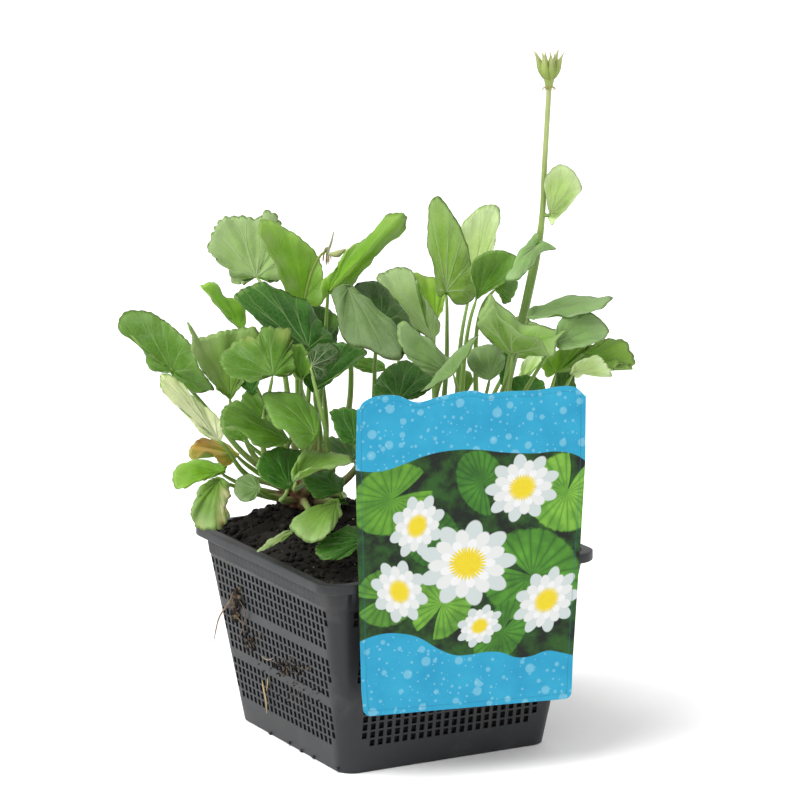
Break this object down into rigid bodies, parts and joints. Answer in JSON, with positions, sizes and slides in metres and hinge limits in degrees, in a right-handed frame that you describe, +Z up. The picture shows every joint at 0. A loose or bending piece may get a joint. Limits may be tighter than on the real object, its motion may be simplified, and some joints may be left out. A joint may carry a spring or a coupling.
{
  "type": "marsh marigold in a pond basket",
  "caption": "Leafy marsh plant with a seed head on a tall stem, growing in a square lattice-walled pond basket of peat, with a printed card hooked over the rim.",
  "frame": {"origin": "middle of the basket's flat bottom", "axes": "+Z up; the basket's sides are square to X and Y, and the printed card hangs on its -Y side"},
  "size_m": [0.1657, 0.1563, 0.2738],
  "materials": {
    "black_plastic": "satin",
    "peat": "matte",
    "card": "satin",
    "green_leaf": "satin",
    "stem_green": "satin",
    "crown_brown": "matte"
  },
  "bodies": {
    "root": {"pot": "black_plastic", "soil": "peat", "label": "card", "crown_left": "crown_brown", "crown_right": "crown_brown", "flower_stem": "stem_green", "stem_leaf_upper": "green_leaf", "stem_leaf_lower": "green_leaf", "seed_head": "stem_green", "spent_flower": "stem_green", "leaf_01": "green_leaf", "leaf_02": "green_leaf", "leaf_03": "green_leaf", "leaf_04": "green_leaf", "leaf_05": "green_leaf", "leaf_06": "green_leaf", "leaf_07": "green_leaf", "leaf_08": "green_leaf", "leaf_09": "green_leaf", "leaf_10": "green_leaf", "leaf_11": "green_leaf", "leaf_12": "green_leaf", "leaf_13": "green_leaf", "leaf_14": "green_leaf", "leaf_15": "green_leaf", "leaf_16": "green_leaf", "leaf_17": "green_leaf", "leaf_18": "green_leaf", "leaf_19": "green_leaf", "leaf_20": "green_leaf", "leaf_21": "green_leaf", "leaf_22": "green_leaf", "leaf_23": "green_leaf", "leaf_24": "green_leaf", "leaf_25": "green_leaf", "leaf_26": "green_leaf", "leaf_27": "green_leaf", "leaf_28": "green_leaf", "leaf_29": "green_leaf", "leaf_30": "green_leaf", "leaf_31": "green_leaf", "leaf_32": "green_leaf", "leaf_33": "green_leaf", "leaf_34": "green_leaf", "leaf_35": "green_leaf", "leaf_36": "green_leaf", "leaf_37": "green_leaf", "leaf_38": "green_leaf", "leaf_39": "green_leaf", "leaf_40": "green_leaf", "leaf_41": "green_leaf", "leaf_42": "green_leaf", "leaf_43": "green_leaf", "leaf_44": "green_leaf", "leaf_45": "green_leaf", "leaf_46": "green_leaf", "leaf_47": "green_leaf", "leaf_48": "green_leaf", "leaf_49": "green_leaf", "leaf_50": "green_leaf"}
  },
  "joints": []
}
